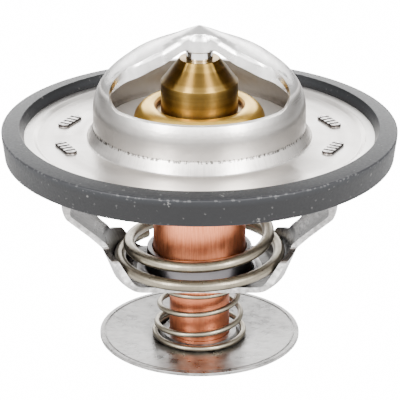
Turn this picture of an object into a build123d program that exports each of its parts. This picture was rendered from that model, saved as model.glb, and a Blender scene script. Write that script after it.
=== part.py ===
"""Wax-element engine thermostat: flange with a bridge, main poppet valve and sprung bypass disc.

Millimetres, +Z up, thermostat axis on Z, lowest face of the bypass disc at Z = 0.
The bridge spans along X.  Each piece is written to its own STEP file in parts/.
"""
from build123d import *
from math import atan, cos, pi, radians, sin, sqrt, tan
import os

os.makedirs("parts", exist_ok=True)

# ---------------------------------------------------------------------------
# Driving dimensions
# ---------------------------------------------------------------------------
# Flange and bridge: one drawn stainless pressing
sheet = 0.9                     # gauge of the pressing
rim_top = 38.2                  # upper face of the rim that carries the seal
flange_radius = 31.8            # edge of the rim, inside the seal
rim_step = 0.5                  # the plate lies this much below the rim
rim_width = 4.2                 # from the edge of the rim to the foot of its step
step_width = 0.7
collar_radius = 18.1            # outside of the drawn collar
collar_flare = 1.1              # the foot of the collar flares out by this much
flare_height = 2.1
foot_round = 0.5
dome_rise = 19.3                # from the rim up to where the cone of the dome would come to a point
dome_slope = 0.445              # fall of the cone for each millimetre of radius
dome_haunch = 24.0              # long curve that follows the cone
dome_shoulder = 9.0             # tighter curve from there down to the collar
haunch_slope = 45.0             # slope of the face where the two curves meet, in degrees
tip_round = 0.9
window_height = 11.8            # from the point of the cone down to the sill of the two windows
window_end_wall = 3.0           # the windows end this far inside the collar, along X
window_corner = 2.0
window_web = 3.0                # round in the corner between a window's end and the strip
web_root = 0.4                  # how far the web of that corner runs in under the strip's edge
strip_half_nub = 2.3            # half width of the bridge strip beside the nub
strip_half_run = 4.25           # half width a little further out
strip_half_mid = 5.0            # half width at the widest place
strip_half_end = 3.9            # half width where the strip joins the collar
strip_run_at = 6.0              # distance from the axis of each of those widths
strip_mid_at = 10.0
strip_end_at = 12.4
strip_end_wall = 1.5            # the strip ends in the wall of the dome, this far inside the collar
strip_skirt = 1.0               # the strip is built up from this far below the shoulder
strip_bends = (2.0, 3.0, 4.0, 3.0)  # plan radii at the nub, the run, the middle and the end
edge_drop = 2.4                 # depth of the turned-down edge of the strip
edge_round = 1.25               # outside radius of the turned-down edge
nub_radius = 2.85               # outside of the socket that holds the piston
nub_depth = 4.3                 # from the point of the cone down to the open end of the socket
nub_blend = 1.8                 # round between the socket and the dome
nub_lip_round = 0.25
socket_cover = 2.1              # from the point of the cone down to the blind end of the socket

# Rubber seal on the rim of the flange
seal_wall = 1.9                 # rubber outside the edge of the rim
seal_draft = 0.55               # the outer face tapers in by this much at its lower edge
seal_rise = 1.3                 # outer corner above the rim
seal_fall = 2.5                 # lower lip below the rim
seal_crown = 0.42               # rise of the upper lip above the outer corner
seal_tip_grip = 1.2             # how far the tips of both lips reach in over the rim
seal_upper_grip = 2.0           # the same for the upper lip where it lies on the rim
seal_lower_grip = 1.7           # and for the lower lip under the rim
seal_corner = 0.4
seal_fit = 0.02                 # gap between the rubber groove and the rim

# Lower frame: one bent strip that carries the main spring
frame_sheet = 1.0
base_bottom = 12.3
bowl_corner_at = 14.75          # where base and bowl wall would meet without their bend
bowl_angle = 68.2
bowl_top = 18.65                # height where the bowl wall turns out into the arms
arm_angle = 43.0
leg_radius = 23.8               # outside of the upright end of each arm
frame_bend = 1.2                # inside radius of the bends
base_half_width = 9.0           # half width of the strip across its base
base_edge_top = 13.5            # height up to which it keeps that width
wing_half_width = 7.7           # half width at the upper corners of the bowl
wing_top = 17.5
wing_round = 0.8
arm_half_root = 4.25            # half width of an arm where it leaves the bowl
arm_root_z = 18.6
arm_half_neck = 4.1             # half width at the narrowest place of an arm
arm_neck_z = 20.5
arm_half_bend = 6.1             # half width where the arm turns up into the leg
arm_bend_z = 26.0
leg_half_width = 8.4            # half width of the legs
leg_full_z = 31.0               # height from which they have that width
arm_round = 2.0                 # rounds along the sides of the arms
tab_half_width = 2.0            # each leg ends in two tabs that pass through the plate
tab_centre = 6.4                # distance of a tab from the XZ plane
tab_fit = 0.05                  # gap around a tab in its slot
stake_height = 0.4              # height of a staked tab end above the plate
stake_length = 5.8
stake_width = 2.1
stake_turn = 27.0               # each end is twisted; angle of its short side from X, in degrees
stake_corner = 0.9
stake_round = 0.2
stake_grooves = 4               # punch marks across each staked end
stake_groove_width = 0.5
stake_groove_depth = 0.2
stake_groove_pitch = 1.15

# Thermostatic element
cup_radius = 8.0
cup_wall = 0.85
cup_shoulder = 10.97            # where the cup steps down to its stem
cup_shoulder_round = 0.9
stem_radius = 5.25
stem_wall = 1.05
stem_end = 0.05
stem_lip = 0.25                 # solid lip below the clip groove
stem_solid = 3.0                # solid end of the stem
rolled_flange = 1.6             # the flanges of cup and guide stand out this far from the cup
cup_flange_thickness = 0.7
frame_fit = 0.25                # gap round the cup in the lower frame
crimp_lip = 0.8                 # lower lip of the crimp ring
crimp_foot = 0.5                # upright band at the foot of the crimp ring
crimp_wall = 1.56               # crimp ring outside the flanges it holds
crimp_shoulder_in = 0.8         # a point on the rounded shoulder of the crimp ring
crimp_shoulder_rise = 2.6       # and its height above the main valve disc
crimp_crest_in = 2.3            # its crest, from the outside of the ring
crimp_crest_rise = 3.6          # the crest above the main valve disc
crimp_gap = 0.85                # open gap between the guide and the upper lip
crimp_cavity_rise = 2.4         # underside of the upper lip above the main valve disc
guide_radius = 6.55
guide_cone = 4.1                # height of the cone on top of the guide
guide_top_radius = 3.4
piston_shows = 1.5              # length of piston between the guide and the socket
guide_edge = 0.15
guide_fit = 0.05                # gap between the guide and the bore of the cup
guide_bottom = 34.0
piston_radius = 2.25
running_fit = 0.04              # radial gap between piston and guide
part_gap = 0.02                 # gap between pieces packed together
piston_bottom = 38.5
piston_chamfer = 0.4
washer_thickness = 0.6
diaphragm_thickness = 1.2

# Main valve disc
valve_sheet = 1.0
valve_rise = 2.3                # top of the closed disc above the plate of the flange
valve_flat_in = 1.9             # the flat of the disc ends this far inside the collar
valve_rim_drop = 1.1            # fall of the turned-down rim, to its outer corner
valve_bend = 0.4
seat_gap = 0.05                 # gap between the closed valve and its seat
valve_fit = 0.1                 # gap between the disc and the cup

# Main spring
main_wire = 2.0
main_bottom_z = 15.5            # wire centre of the bottom coil
main_start_turn = 0.12          # turns, counted from the back of the bottom coil
main_wedge_turn = 0.42          # where the wire starts to rise in the bowl
main_wedge_pitch = 2.75
main_climb_turn = 1.66          # where the open coils start
main_pitch = 10.4
main_closed_turns = 0.8         # part of a turn that lies flat at the top
main_neck_turn = 0.78           # where the coil starts to narrow, and where it has
main_necked_turn = 1.35
main_neck_radius = 12.1
main_top_radius = 10.65

# Bypass valve
disc_radius = 17.5
disc_sheet = 0.6
disc_seat_width = 2.1           # flat ring under the bypass spring
disc_rim_width = 0.9            # rim outside the dish
disc_rise = 0.6                 # height of the rim above the flat ring
disc_line_width = 0.3           # coined line where the dish meets the rim
disc_line_depth = 0.12
boss_clearance = 0.4            # the raised centre clears the clip by this much
boss_slope = 0.8                # width of the sloping wall round it
boss_rise = 0.65
boss_wall = 0.3                 # how far the sloping wall of the boss is set out on top
disc_fit = 0.1                  # gap between disc and stem
clip_reach = 0.45               # the clip stands out this far from the stem
clip_groove_depth = 0.55
clip_thickness = 0.3
clip_fit = 0.03
clip_opening = 4.5              # width of the opening of the clip

# Bypass spring
bypass_wire = 1.0
bypass_start_turn = -0.38       # turns, counted from the front of the bottom coil
bypass_lift_turn = 0.29         # where the wire leaves the bottom coil
bypass_pitch = 3.55
bypass_closed_turns = 0.7
bypass_bottom_radius = 7.85
bypass_taper = 0.5              # fall of the coil radius for each turn
bypass_top_radius = 6.42

# Turns over which a spring eases from one pitch to the next
ease_turns = 0.2
coil_points = 12                # points on the centre line for each turn

# ---------------------------------------------------------------------------
# Derived places
# ---------------------------------------------------------------------------
rim_bottom = rim_top - sheet
dome_apex = rim_top + dome_rise
window_sill = dome_apex - window_height
nub_bottom = dome_apex - nub_depth
socket_top = dome_apex - socket_cover
guide_top = nub_bottom - piston_shows
guide_shoulder = guide_top - guide_cone
step_radius = flange_radius - rim_width
collar_foot_radius = collar_radius + collar_flare
window_reach = collar_radius - window_end_wall
strip_length = collar_radius - strip_end_wall
plate_top = rim_top - rim_step
plate_bottom = plate_top - sheet
valve_top = plate_top + valve_rise
valve_rim_z = valve_top - valve_rim_drop
valve_flat_radius = collar_radius - valve_flat_in
crimp_shoulder_z = valve_top + crimp_shoulder_rise
crimp_crest = valve_top + crimp_crest_rise
crimp_cavity = valve_top + crimp_cavity_rise
flare_top = plate_top + flare_height
flare_slope = (collar_foot_radius - collar_radius) / flare_height
flare_angle = atan(flare_slope)
cone_angle = atan(dome_slope)
haunch_end = radians(haunch_slope)
curve_step = dome_haunch - dome_shoulder
shoulder_at = collar_radius - dome_shoulder
shoulder_start = shoulder_at + dome_shoulder * sin(haunch_end)
haunch_at = shoulder_at - curve_step * sin(haunch_end)
haunch_start = haunch_at + dome_haunch * sin(cone_angle)
haunch_z = dome_apex - dome_slope * haunch_start - dome_haunch * cos(cone_angle)
shoulder_z = haunch_z + curve_step * cos(haunch_end)
inner_flare_top = flare_top - sheet * tan(flare_angle / 2)
collar_middle = (flare_top + shoulder_z) / 2
tip_centre_z = dome_apex - tip_round / cos(cone_angle)
tab_cut_length = 6 * frame_sheet


def seat_radius(height):
    """Inside radius of the flare of the collar, which is the seat of the main valve."""
    return collar_radius - sheet + flare_slope * (inner_flare_top - height)


def dome_height(radius):
    """Height of the outer face of the dome at a distance from the axis."""
    if radius < haunch_start:
        return dome_apex - dome_slope * radius
    if radius < shoulder_start:
        return haunch_z + sqrt(dome_haunch**2 - (radius - haunch_at) ** 2)
    return shoulder_z + sqrt(dome_shoulder**2 - (radius - shoulder_at) ** 2)


def on_circle(centre_at, centre_z, reach, angle):
    """Point of a circle in the section, at an angle from straight up."""
    return (centre_at + reach * sin(angle), centre_z + reach * cos(angle))


def dome_section(inset, drop, floor):
    """Half section of everything under the dome face `inset` inside and `drop` below the outer face."""
    long_reach = dome_haunch - inset
    short_reach = dome_shoulder - inset
    long_z = haunch_z - drop
    short_z = shoulder_z - drop
    cone_end = on_circle(haunch_at, long_z, long_reach, cone_angle)
    haunch_middle = on_circle(haunch_at, long_z, long_reach, (cone_angle + haunch_end) / 2)
    turn = on_circle(shoulder_at, short_z, short_reach, haunch_end)
    shoulder_middle = on_circle(shoulder_at, short_z, short_reach, (haunch_end + pi / 2) / 2)
    side = (shoulder_at + short_reach, short_z)
    tip_z = dome_apex - drop - (inset + tip_round) / cos(cone_angle)
    tip_top = (0, tip_z + tip_round)
    tip_middle = on_circle(0, tip_z, tip_round, cone_angle / 2)
    tip_end = on_circle(0, tip_z, tip_round, cone_angle)
    with BuildSketch(Plane.XZ) as section:
        with BuildLine():
            Polyline(side, (side[0], floor), (0, floor), tip_top)
            ThreePointArc(tip_top, tip_middle, tip_end)
            Line(tip_end, cone_end)
            ThreePointArc(cone_end, haunch_middle, turn)
            ThreePointArc(turn, shoulder_middle, side)
        make_face()
    return section.sketch


def dome_solid(inset, drop, floor):
    """The same space as a solid of revolution."""
    with BuildPart() as dome:
        revolve(dome_section(inset, drop, floor), axis=Axis.Z)
    return dome.part


def strip_band(inset, drop, floor):
    """The same section carried straight across the bridge, inside the plan of the strip."""
    end = strip_half_end - inset
    middle = strip_half_mid - inset
    run = strip_half_run - inset
    waist = strip_half_nub - inset
    with BuildPart() as band:
        with BuildSketch(Plane.XZ):
            add(dome_section(inset, drop, floor).rotate(Axis.X, -90))
            mirror(about=Plane.YZ)
        extrude(amount=collar_radius, both=True)
        with BuildSketch(Plane.XY.offset(floor)):
            for side in (1, -1):
                with BuildLine():
                    FilletPolyline(
                        (0, waist),
                        (side * nub_radius, waist),
                        (side * strip_run_at, run),
                        (side * strip_mid_at, middle),
                        (side * strip_end_at, end),
                        (side * strip_length, end),
                        (side * strip_length, -end),
                        (side * strip_end_at, -end),
                        (side * strip_mid_at, -middle),
                        (side * strip_run_at, -run),
                        (side * nub_radius, -waist),
                        (0, -waist),
                        radius=(0,) + strip_bends + (0, 0) + tuple(reversed(strip_bends)) + (0,),
                        close=True,
                    )
                make_face()
        extrude(amount=dome_apex, mode=Mode.INTERSECT)
    return band.part


def tab_outline(grow):
    """Plan of the four tabs on the ends of the legs, or of their slots when grown."""
    with BuildSketch() as outline:
        with Locations(
            (leg_radius, tab_centre),
            (leg_radius, -tab_centre),
            (-leg_radius, tab_centre),
            (-leg_radius, -tab_centre),
        ):
            Rectangle(tab_cut_length, 2 * (tab_half_width + grow))
        Circle(leg_radius + grow, mode=Mode.INTERSECT)
        Circle(leg_radius - frame_sheet - grow, mode=Mode.SUBTRACT)
    return outline.sketch


# ---------------------------------------------------------------------------
# Flange and bridge
# ---------------------------------------------------------------------------
# The strip: a slab that follows the dome, with its edges turned down and hollow below.
strip_bottom = shoulder_z - strip_skirt
with BuildPart() as bridge_strip:
    add(strip_band(0, 0, strip_bottom))
    upper_edges = edges().filter_by_position(Axis.Z, strip_bottom + strip_skirt, dome_apex)
    rim_edges = upper_edges.filter_by(Axis.Z, reverse=True).filter_by(Axis.Y, reverse=True)
    fillet(rim_edges, edge_round)
    add(dome_solid(0, 0, strip_bottom), mode=Mode.INTERSECT)
    add(dome_solid(0, edge_drop, strip_bottom - 2 * edge_drop), mode=Mode.SUBTRACT)
    add(strip_band(sheet, 0, strip_bottom - strip_skirt), mode=Mode.SUBTRACT)

# The windows: all of the dome beside the strip, but for a round web in each corner.
with BuildPart() as windows:
    with Locations((0, 0, window_sill)):
        Box(
            2 * window_reach,
            3 * collar_radius,
            dome_apex,
            align=(Align.CENTER, Align.CENTER, Align.MIN),
        )
    fillet(windows.edges().filter_by(Axis.Y).group_by(Axis.Z)[0], window_corner)
    with BuildSketch(Plane.XY.offset(window_sill)):
        for side_x in (1, -1):
            for side_y in (1, -1):
                with BuildLine():
                    web = Polyline(
                        (side_x * (window_reach - window_web), side_y * strip_half_end),
                        (side_x * (window_reach - window_web), side_y * (strip_half_end - web_root)),
                        (side_x * window_reach, side_y * (strip_half_end - web_root)),
                        (side_x * window_reach, side_y * (strip_half_end + window_web)),
                    )
                    RadiusArc(web @ 1, web @ 0, side_x * side_y * window_web)
                make_face()
    extrude(amount=dome_apex, mode=Mode.SUBTRACT)

with BuildPart() as flange_bridge:
    with BuildSketch(Plane.XZ):
        with BuildLine():
            upper = FilletPolyline(
                (flange_radius, rim_top),
                (step_radius + step_width, rim_top),
                (step_radius, plate_top),
                (collar_foot_radius, plate_top),
                (collar_radius, flare_top),
                (collar_radius, collar_middle),
                radius=(foot_round, foot_round, foot_round, foot_round),
            )
            inner_foot = seat_radius(plate_bottom)
            lower = FilletPolyline(
                (flange_radius, rim_bottom),
                (step_radius + step_width, rim_bottom),
                (step_radius, plate_bottom),
                (inner_foot, plate_bottom),
                (collar_radius - sheet, inner_flare_top),
                (collar_radius - sheet, collar_middle),
                radius=(foot_round, foot_round, foot_round, foot_round),
            )
            Line(upper @ 0, lower @ 0)
            Line(upper @ 1, lower @ 1)
        make_face()
    revolve(axis=Axis.Z)
    add(dome_solid(0, 0, collar_middle))
    add(dome_solid(sheet, 0, collar_middle), mode=Mode.SUBTRACT)
    add(windows.part, mode=Mode.SUBTRACT)
    add(bridge_strip.part)
    with BuildSketch(Plane.XZ):
        with BuildLine():
            nub_side = FilletPolyline(
                (0, nub_bottom),
                (nub_radius, nub_bottom),
                (nub_radius, dome_height(nub_radius)),
                on_circle(0, tip_centre_z, tip_round, cone_angle),
                radius=(nub_lip_round, nub_blend),
            )
            TangentArc(nub_side @ 1, (0, tip_centre_z + tip_round), tangent=nub_side % 1)
            Line((0, tip_centre_z + tip_round), (0, nub_bottom))
        make_face()
    revolve(axis=Axis.Z)
    with Locations((0, 0, nub_bottom - edge_drop)):
        Cylinder(
            piston_radius + part_gap,
            socket_top - nub_bottom + edge_drop,
            align=(Align.CENTER, Align.CENTER, Align.MIN),
            mode=Mode.SUBTRACT,
        )
    with BuildSketch(Plane.XY.offset(plate_bottom)):
        add(tab_outline(tab_fit))
    extrude(amount=sheet, mode=Mode.SUBTRACT)
flange_bridge.part.label = "flange_bridge"
export_step(flange_bridge.part, "parts/flange_bridge.step")

# ---------------------------------------------------------------------------
# Seal ring: moulded rubber of U section, pushed over the rim
# ---------------------------------------------------------------------------
groove_wall = flange_radius + seal_fit
lip_tip = flange_radius - seal_tip_grip
seal_radius = flange_radius + seal_wall
seal_top = rim_top + seal_rise
seal_bottom = rim_bottom - seal_fall
with BuildPart() as seal_ring:
    with BuildSketch(Plane.XZ):
        with BuildLine():
            FilletPolyline(
                (seal_radius - seal_draft, seal_bottom),
                (seal_radius, seal_top),
                (lip_tip, seal_top + seal_crown),
                (flange_radius - seal_upper_grip, rim_top + seal_fit),
                (groove_wall, rim_top + seal_fit),
                (groove_wall, rim_bottom - seal_fit),
                (flange_radius - seal_lower_grip, rim_bottom - seal_fit),
                (lip_tip, seal_bottom),
                radius=(seal_corner, seal_corner, seal_corner / 2, 0, 0, 0, 0, seal_corner / 2),
                close=True,
            )
        make_face()
    revolve(axis=Axis.Z)
seal_ring.part.label = "seal_ring"
export_step(seal_ring.part, "parts/seal_ring.step")

# ---------------------------------------------------------------------------
# Lower frame: a bent strip with a bowl for the spring, two arms and staked tabs
# ---------------------------------------------------------------------------
frame_hole = cup_radius + frame_fit
bowl_rise = tan(radians(bowl_angle))
arm_rise = tan(radians(arm_angle))
bowl_top_at = bowl_corner_at + (bowl_top - base_bottom) / bowl_rise
arm_top = bowl_top + (leg_radius - bowl_top_at) * arm_rise
corner_shift = frame_sheet * tan(radians(bowl_angle) / 2)
inner_base = base_bottom + frame_sheet
inner_corner_at = bowl_corner_at - corner_shift
bowl_line = inner_base - bowl_rise * inner_corner_at
arm_line = bowl_top - arm_rise * bowl_top_at + frame_sheet / cos(radians(arm_angle))
inner_top_at = (arm_line - bowl_line) / (bowl_rise - arm_rise)
inner_top = bowl_line + bowl_rise * inner_top_at
inner_leg = leg_radius - frame_sheet
inner_arm_top = arm_line + arm_rise * inner_leg
outer_bend = frame_bend + frame_sheet

with BuildPart() as lower_frame:
    with BuildSketch(Plane.XZ):
        with BuildLine():
            FilletPolyline(
                (frame_hole, base_bottom),
                (bowl_corner_at, base_bottom),
                (bowl_top_at, bowl_top),
                (leg_radius, arm_top),
                (leg_radius, plate_bottom),
                (inner_leg, plate_bottom),
                (inner_leg, inner_arm_top),
                (inner_top_at, inner_top),
                (inner_corner_at, inner_base),
                (frame_hole, inner_base),
                radius=(0, outer_bend, frame_bend, outer_bend, 0, 0, frame_bend, outer_bend, frame_bend, 0),
                close=True,
            )
        make_face()
    revolve(axis=Axis.Z)
    with BuildSketch(Plane.YZ):
        for side in (1, -1):
            with BuildLine():
                FilletPolyline(
                    (0, base_bottom),
                    (side * base_half_width, base_bottom),
                    (side * base_half_width, base_edge_top),
                    (side * wing_half_width, wing_top),
                    (side * arm_half_root, arm_root_z),
                    (side * arm_half_neck, arm_neck_z),
                    (side * arm_half_bend, arm_bend_z),
                    (side * leg_half_width, leg_full_z),
                    (side * leg_half_width, plate_bottom),
                    (0, plate_bottom),
                    radius=(0, 0, arm_round, wing_round, wing_round, wing_round, arm_round, arm_round, 0, 0),
                    close=True,
                )
            make_face()
    extrude(amount=leg_radius + frame_sheet, both=True, mode=Mode.INTERSECT)
    with BuildSketch(Plane.XY.offset(plate_bottom)):
        add(tab_outline(0))
    extrude(amount=sheet)
    # Staked ends: each tab is punched over on top of the plate
    for side_x in (1, -1):
        for side_y in (1, -1):
            stake_angle = radians(stake_turn * side_x * side_y)
            stake_at = sqrt((leg_radius - frame_sheet / 2) ** 2 - tab_centre**2)
            with BuildPart(
                Plane(
                    origin=(side_x * stake_at, side_y * tab_centre, plate_top),
                    x_dir=(cos(stake_angle), sin(stake_angle), 0),
                    z_dir=(0, 0, 1),
                ),
                mode=Mode.ADD,
            ) as stake:
                Box(
                    stake_width,
                    stake_length,
                    stake_height,
                    align=(Align.CENTER, Align.CENTER, Align.MIN),
                )
                fillet(stake.edges().filter_by(Axis.Z), stake_corner)
                fillet(stake.faces().sort_by(Axis.Z)[-1].edges(), stake_round)
                with Locations((0, 0, stake_height - stake_groove_depth)):
                    with GridLocations(1, stake_groove_pitch, 1, stake_grooves):
                        Box(
                            2 * frame_sheet,
                            stake_groove_width,
                            2 * stake_groove_depth,
                            align=(Align.CENTER, Align.CENTER, Align.MIN),
                            mode=Mode.SUBTRACT,
                        )
lower_frame.part.label = "lower_frame"
export_step(lower_frame.part, "parts/lower_frame.step")

# ---------------------------------------------------------------------------
# Element cup: drawn copper, with a stem for the bypass valve
# ---------------------------------------------------------------------------
cup_bore = cup_radius - cup_wall
stem_bore = stem_radius - stem_wall
cup_flange_radius = cup_radius + rolled_flange
clip_groove = stem_radius - clip_groove_depth
groove_bottom = stem_end + stem_lip
groove_top = groove_bottom + clip_thickness + clip_fit
cup_flange_z = valve_top + crimp_lip + part_gap
cup_mouth = cup_flange_z + cup_flange_thickness
cup_floor = cup_shoulder + cup_radius - cup_bore
with BuildPart() as element_cup:
    with BuildSketch(Plane.XZ):
        with BuildLine():
            FilletPolyline(
                (0, stem_end),
                (clip_groove, stem_end),
                (stem_radius - part_gap, stem_end),
                (stem_radius, stem_end + part_gap),
                (stem_radius, groove_bottom),
                (clip_groove, groove_bottom),
                (clip_groove, groove_top),
                (stem_radius, groove_top),
                (stem_radius, cup_shoulder),
                (cup_radius, cup_shoulder),
                (cup_radius, cup_flange_z),
                (cup_flange_radius, cup_flange_z),
                (cup_flange_radius, cup_mouth),
                (cup_bore, cup_mouth),
                (cup_bore, cup_floor),
                (stem_bore, cup_floor),
                (stem_bore, stem_solid),
                (0, stem_solid),
                radius=(0, 0, 0, 0, 0, 0, 0, 0, 0, cup_shoulder_round, 0, 0, 0, 0, 0, 0, 0, 0),
                close=True,
            )
        make_face()
    revolve(axis=Axis.Z)
element_cup.part.label = "element_cup"
export_step(element_cup.part, "parts/element_cup.step")

# ---------------------------------------------------------------------------
# Guide: turned brass, with its flange crimped to the cup
# ---------------------------------------------------------------------------
guide_bore = piston_radius + running_fit
guide_spigot = cup_bore - guide_fit
guide_flange_z = cup_mouth + part_gap
with BuildPart() as guide:
    with BuildSketch(Plane.XZ):
        with BuildLine():
            Polyline(
                (guide_bore, guide_bottom),
                (guide_spigot, guide_bottom),
                (guide_spigot, guide_flange_z),
                (cup_flange_radius, guide_flange_z),
                (cup_flange_radius, crimp_cavity - part_gap),
                (guide_radius, crimp_cavity - part_gap),
                (guide_radius, guide_shoulder),
                (guide_top_radius, guide_top),
                (guide_bore, guide_top),
                close=True,
            )
        make_face()
    revolve(axis=Axis.Z)
    chamfer(edges().group_by(Axis.Z)[-1], guide_edge)
guide.part.label = "guide"
export_step(guide.part, "parts/guide.step")

# ---------------------------------------------------------------------------
# Crimp ring: brass ring rolled over the flanges of the cup and the guide
# ---------------------------------------------------------------------------
crimp_inside = cup_flange_radius + 2 * part_gap
crimp_radius = crimp_inside + crimp_wall
crimp_bore = guide_radius + crimp_gap
crest_at = crimp_radius - crimp_crest_in
lip_edge = (crimp_bore, (crimp_cavity + crimp_crest) / 2)
cup_opening = cup_radius + valve_fit
with BuildPart() as crimp_collar:
    with BuildSketch(Plane.XZ):
        with BuildLine():
            Polyline(
                lip_edge,
                (crimp_bore, crimp_cavity),
                (crimp_inside, crimp_cavity),
                (crimp_inside, valve_top + crimp_lip),
                (cup_opening, valve_top + crimp_lip),
                (cup_opening, valve_top),
                (crimp_radius, valve_top),
                (crimp_radius, valve_top + crimp_foot),
            )
            ThreePointArc(
                (crimp_radius, valve_top + crimp_foot),
                (crimp_radius - crimp_shoulder_in, crimp_shoulder_z),
                (crest_at, crimp_crest),
            )
            TangentArc(
                (crest_at, crimp_crest),
                lip_edge,
                tangent=(-1, 0),
            )
        make_face()
    revolve(axis=Axis.Z)
crimp_collar.part.label = "crimp_collar"
export_step(crimp_collar.part, "parts/crimp_collar.step")

# ---------------------------------------------------------------------------
# Inside of the element: diaphragm, plug, washer and wax
# ---------------------------------------------------------------------------
diaphragm_top = guide_bottom - part_gap
with BuildPart() as diaphragm:
    with Locations((0, 0, diaphragm_top)):
        Cylinder(
            cup_bore - part_gap,
            diaphragm_thickness,
            align=(Align.CENTER, Align.CENTER, Align.MAX),
        )
diaphragm.part.label = "diaphragm"
export_step(diaphragm.part, "parts/diaphragm.step")

washer_bottom = piston_bottom - part_gap - washer_thickness
with BuildPart() as anti_extrusion_washer:
    with Locations((0, 0, washer_bottom)):
        Cylinder(
            guide_bore - part_gap,
            washer_thickness,
            align=(Align.CENTER, Align.CENTER, Align.MIN),
        )
anti_extrusion_washer.part.label = "anti_extrusion_washer"
export_step(anti_extrusion_washer.part, "parts/anti_extrusion_washer.step")

with BuildPart() as rubber_plug:
    with Locations((0, 0, guide_bottom)):
        Cylinder(
            guide_bore - part_gap,
            washer_bottom - part_gap - guide_bottom,
            align=(Align.CENTER, Align.CENTER, Align.MIN),
        )
rubber_plug.part.label = "rubber_plug"
export_step(rubber_plug.part, "parts/rubber_plug.step")

with BuildPart() as wax_charge:
    with BuildSketch(Plane.XZ):
        with BuildLine():
            Polyline(
                (0, stem_solid + part_gap),
                (stem_bore - part_gap, stem_solid + part_gap),
                (stem_bore - part_gap, cup_floor + part_gap),
                (cup_bore - part_gap, cup_floor + part_gap),
                (cup_bore - part_gap, diaphragm_top - diaphragm_thickness - part_gap),
                (0, diaphragm_top - diaphragm_thickness - part_gap),
                close=True,
            )
        make_face()
    revolve(axis=Axis.Z)
wax_charge.part.label = "wax_charge"
export_step(wax_charge.part, "parts/wax_charge.step")

# ---------------------------------------------------------------------------
# Piston: polished steel pin seated in the socket of the bridge
# ---------------------------------------------------------------------------
with BuildPart() as piston:
    with Locations((0, 0, piston_bottom)):
        Cylinder(
            piston_radius,
            socket_top - part_gap - piston_bottom,
            align=(Align.CENTER, Align.CENTER, Align.MIN),
        )
    chamfer(edges().filter_by(GeomType.CIRCLE), piston_chamfer)
piston.part.label = "piston"
export_step(piston.part, "parts/piston.step")

# ---------------------------------------------------------------------------
# Main valve disc: its turned-down rim closes against the flare of the collar
# ---------------------------------------------------------------------------
valve_bottom = valve_top - valve_sheet
valve_rim_at = seat_radius(valve_rim_z) - seat_gap
rim_angle = atan((valve_top - valve_rim_z) / (valve_rim_at - valve_flat_radius))
with BuildPart() as main_valve_disc:
    with BuildSketch(Plane.XZ):
        with BuildLine():
            FilletPolyline(
                (cup_opening, valve_bottom),
                (valve_flat_radius - valve_sheet * tan(rim_angle / 2), valve_bottom),
                (valve_rim_at - valve_sheet * sin(rim_angle), valve_rim_z - valve_sheet * cos(rim_angle)),
                (valve_rim_at, valve_rim_z),
                (valve_flat_radius, valve_top),
                (cup_opening, valve_top),
                radius=(0, valve_bend, 0, 0, valve_bend, 0),
                close=True,
            )
        make_face()
    revolve(axis=Axis.Z)
main_valve_disc.part.label = "main_valve_disc"
export_step(main_valve_disc.part, "parts/main_valve_disc.step")


# ---------------------------------------------------------------------------
# Springs
# ---------------------------------------------------------------------------
def eased(turns):
    """Turns past a change of pitch, with the change itself eased in."""
    if turns <= -ease_turns:
        return 0.0
    if turns >= ease_turns:
        return turns
    return (turns + ease_turns) ** 2 / (4 * ease_turns)


def share(turn, start, end):
    """How far a turn lies between two others, from 0 to 1, with soft ends."""
    part_way = min(max((turn - start) / (end - start), 0.0), 1.0)
    return part_way * part_way * (3 - 2 * part_way)


def coil_line(start, end, first_angle, radius_at, height_at):
    """Points on the centre line of a right-handed spring that rises from start to end."""
    steps = round((end - start) * coil_points)
    points = []
    for step in range(steps + 1):
        turn = start + (end - start) * step / steps
        angle = radians(first_angle + 360 * turn)
        points.append((radius_at(turn) * cos(angle), radius_at(turn) * sin(angle), height_at(turn)))
    return points


# Main spring: the bottom coil is wedged in the bowl of the frame, the top one presses the disc
main_top_z = valve_bottom - part_gap - main_wire / 2
main_bottom_radius = (
    bowl_corner_at
    + (main_bottom_z - base_bottom) / bowl_rise
    - (frame_sheet + part_gap + main_wire / 2) / sin(radians(bowl_angle))
)
main_climb = main_pitch - main_wedge_pitch
main_flat_turn = (
    main_top_z - main_bottom_z + main_wedge_pitch * main_wedge_turn + main_climb * main_climb_turn
) / main_pitch


def main_radius(turn):
    narrowing = (main_neck_radius - main_bottom_radius) * share(turn, main_neck_turn, main_necked_turn)
    taper = (main_top_radius - main_neck_radius) * share(turn, main_necked_turn, main_flat_turn)
    return main_bottom_radius + narrowing + taper


def main_height(turn):
    wedge = main_wedge_pitch * eased(turn - main_wedge_turn)
    climb = main_climb * eased(turn - main_climb_turn)
    return main_bottom_z + wedge + climb - main_pitch * eased(turn - main_flat_turn)


with BuildPart() as main_spring:
    with BuildLine() as main_coil:
        main_end = main_flat_turn + main_closed_turns
        Spline(*coil_line(main_start_turn, main_end, 90, main_radius, main_height))
    with BuildSketch(Plane(origin=main_coil.line @ 0, z_dir=main_coil.line % 0)):
        Circle(main_wire / 2)
    sweep()
main_spring.part.label = "main_spring"
export_step(main_spring.part, "parts/main_spring.step")

# Bypass spring: between the shoulder of the cup and the bypass disc
bypass_top_z = cup_shoulder - part_gap - bypass_wire / 2
bypass_bottom_z = disc_sheet + part_gap + bypass_wire / 2
bypass_flat_turn = bypass_lift_turn + (bypass_top_z - bypass_bottom_z) / bypass_pitch


def bypass_radius(turn):
    tapered = bypass_bottom_radius - bypass_taper * max(turn, 0)
    return max(tapered, bypass_top_radius)


def bypass_height(turn):
    rise = eased(turn - bypass_lift_turn) - eased(turn - bypass_flat_turn)
    return bypass_bottom_z + bypass_pitch * rise


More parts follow.
